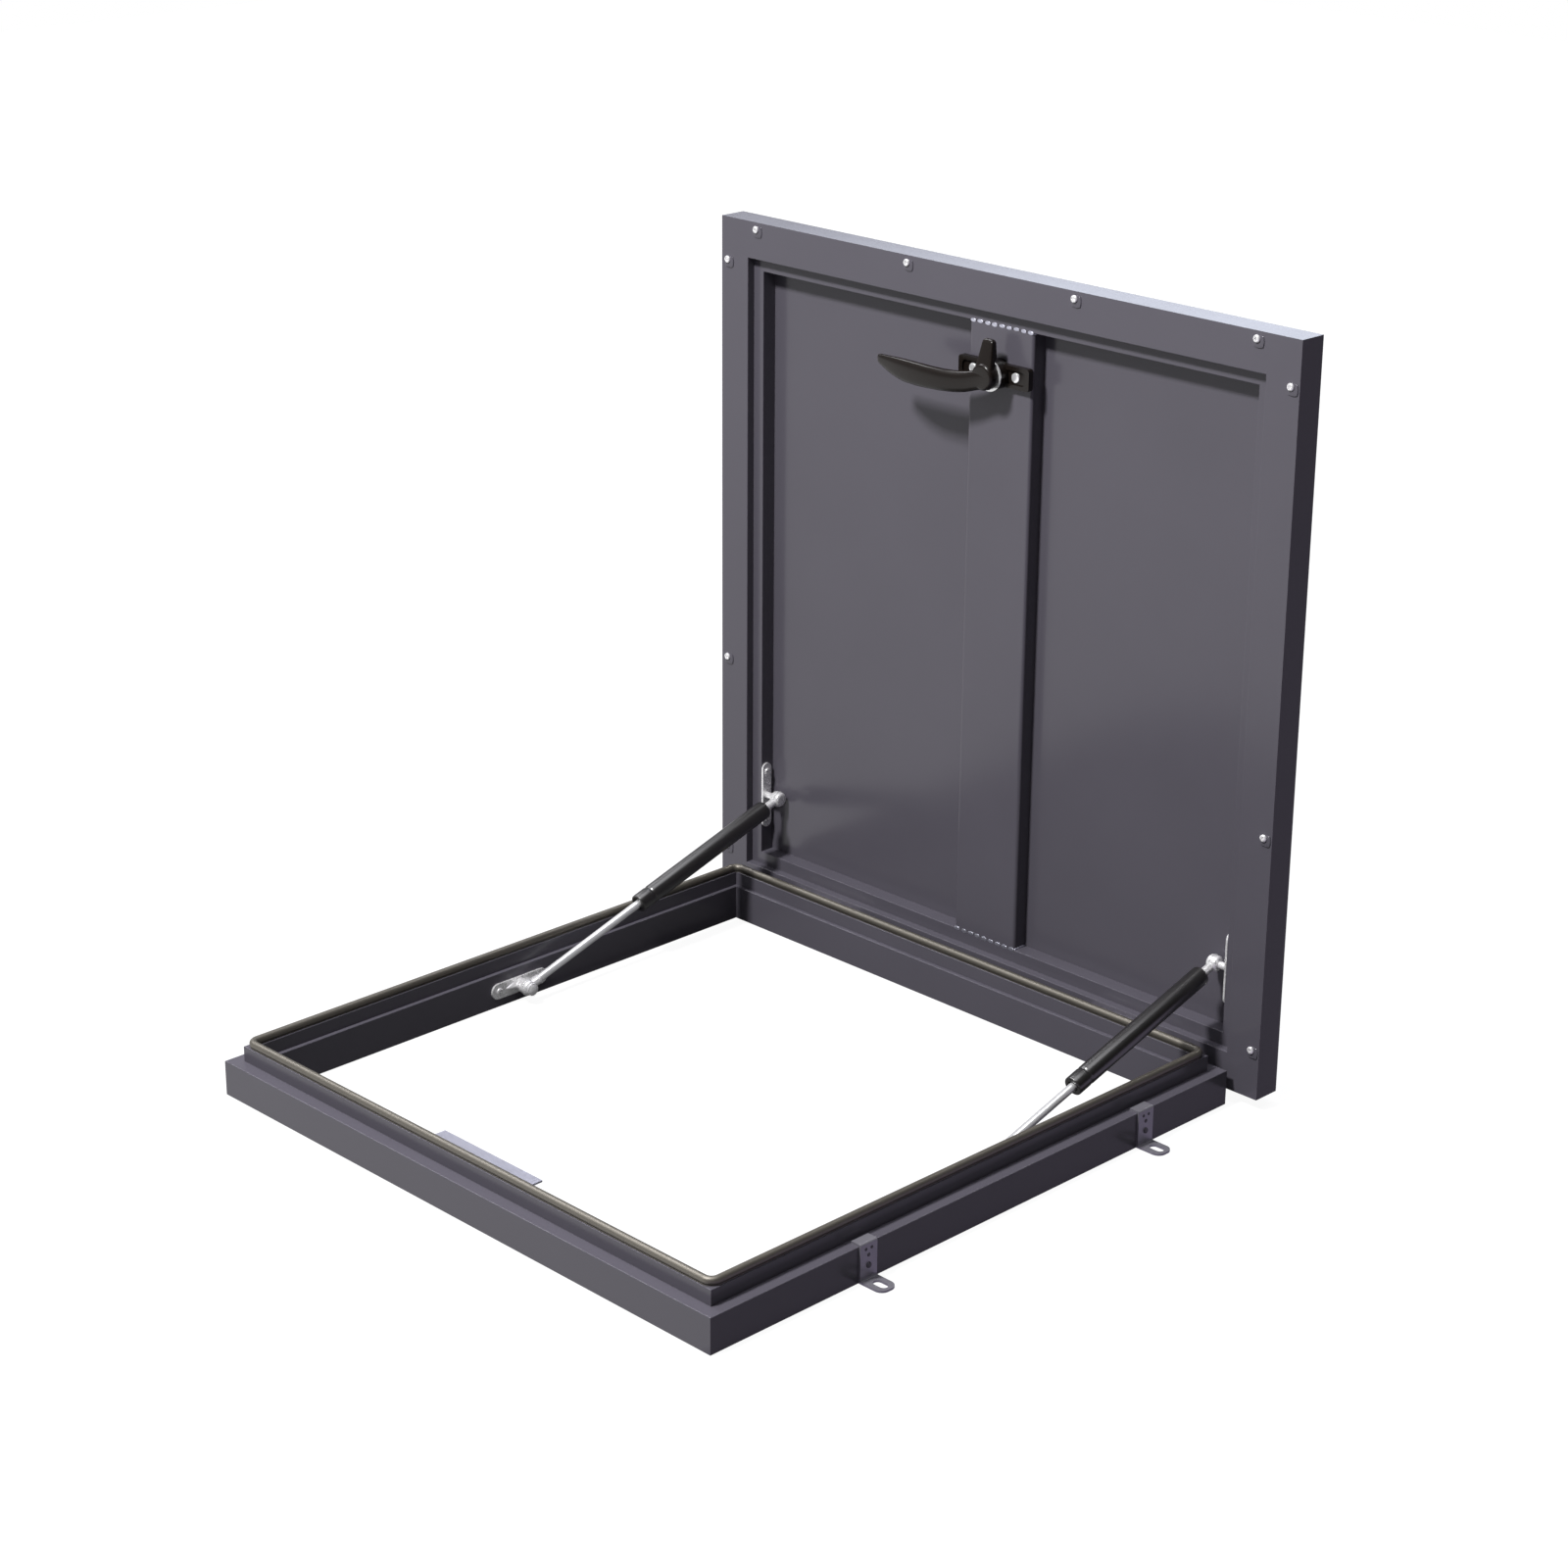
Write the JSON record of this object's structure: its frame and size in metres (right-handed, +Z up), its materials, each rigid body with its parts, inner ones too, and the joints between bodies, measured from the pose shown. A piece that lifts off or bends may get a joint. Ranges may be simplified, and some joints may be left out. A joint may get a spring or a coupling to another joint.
{
  "type": "roof access hatch",
  "caption": "Square aluminium roof access hatch standing open: a low curb frame with a gasket, a hinged insulated lid held by side gas struts, and an inside cam handle.",
  "frame": {"origin": "centre of the clear roof opening, level with the underside of the curb frame", "axes": "+X to the right seen from the front, +Y towards the hinges, +Z up"},
  "size_m": [0.709, 0.6876, 0.7205],
  "materials": {
    "powder_coat": "satin dark violet-grey powder coat on aluminium",
    "stainless": "stamped stainless steel",
    "bright_chrome": "ground and chromed rod",
    "strut_black": "semi-gloss black enamel",
    "bare_aluminium": "unpainted aluminium with a soft satin finish",
    "gasket_rubber": "extruded bulb seal, smooth",
    "handle_bronze": "dark bronze lacquer, glossy"
  },
  "bodies": {
    "frame": {"base_rail_front": "powder_coat", "base_rail_rear": "powder_coat", "base_rail_left": "powder_coat", "base_rail_right": "powder_coat", "gasket": "gasket_rubber", "keeper_plate": "bare_aluminium", "anchor_bracket_front_left": "powder_coat", "anchor_bracket_front_right": "powder_coat", "anchor_bracket_rear_left": "powder_coat", "anchor_bracket_rear_right": "powder_coat", "hinge_base_leaf_left": "stainless", "hinge_base_leaf_right": "stainless", "hinge_pin_left": "stainless", "hinge_pin_right": "stainless", "strut_base_bracket_left": "stainless", "strut_base_bracket_right": "stainless"},
    "lid": {"lid_skin": "powder_coat", "lid_rail_front": "powder_coat", "lid_rail_rear": "powder_coat", "lid_rail_left": "powder_coat", "lid_rail_right": "powder_coat", "lid_liner": "powder_coat", "stiffener_bar": "powder_coat", "hinge_lid_leaf_left": "stainless", "hinge_lid_leaf_right": "stainless", "strut_lid_bracket_left": "stainless", "strut_lid_bracket_right": "stainless", "handle_base": "handle_bronze"},
    "handle": {"handle_lever": "handle_bronze", "handle_washer": "bright_chrome"},
    "rod_left": {"strut_rod_left": "bright_chrome", "strut_rod_end_left": "stainless"},
    "cylinder_left": {"strut_cylinder_left": "strut_black", "strut_cylinder_end_left": "stainless"},
    "rod_right": {"strut_rod_right": "bright_chrome", "strut_rod_end_right": "stainless"},
    "cylinder_right": {"strut_cylinder_right": "strut_black", "strut_cylinder_end_right": "stainless"}
  },
  "joints": [
    {"name": "lid_hinge", "type": "hinge", "parent": "frame", "child": "lid", "pos_m": [0, 0.325, 0.041], "axis": [1, 0, 0], "range_deg": [0, 90]},
    {"name": "handle_turn", "type": "hinge", "parent": "lid", "child": "handle", "pos_m": [0.008, 0.3409, 0.6275], "axis": [0, -1, 0], "range_deg": [0, 90]},
    {"name": "rod_left_pivot", "type": "hinge", "parent": "frame", "child": "rod_left", "pos_m": [-0.287, 0.006, 0.017], "axis": [1, 0, 0], "range_deg": [-6.33, 0]},
    {"name": "cylinder_left_slide", "type": "slide", "parent": "rod_left", "child": "cylinder_left", "axis": [0, 0.9549, 0.2968], "range_m": [-0.11577, 0]},
    {"name": "rod_right_pivot", "type": "hinge", "parent": "frame", "child": "rod_right", "pos_m": [0.287, 0.006, 0.017], "axis": [1, 0, 0], "range_deg": [-6.33, 0]},
    {"name": "cylinder_right_slide", "type": "slide", "parent": "rod_right", "child": "cylinder_right", "axis": [0, 0.9549, 0.2968], "range_m": [-0.11577, 0]}
  ],
  "couplings": [
    {"joint": "rod_left_pivot", "follows": "lid_hinge", "ratio": -0.06982},
    {"joint": "cylinder_left_slide", "follows": "lid_hinge", "m_per_rad": -0.073639},
    {"joint": "rod_right_pivot", "follows": "lid_hinge", "ratio": -0.06982},
    {"joint": "cylinder_right_slide", "follows": "lid_hinge", "m_per_rad": -0.073639}
  ]
}
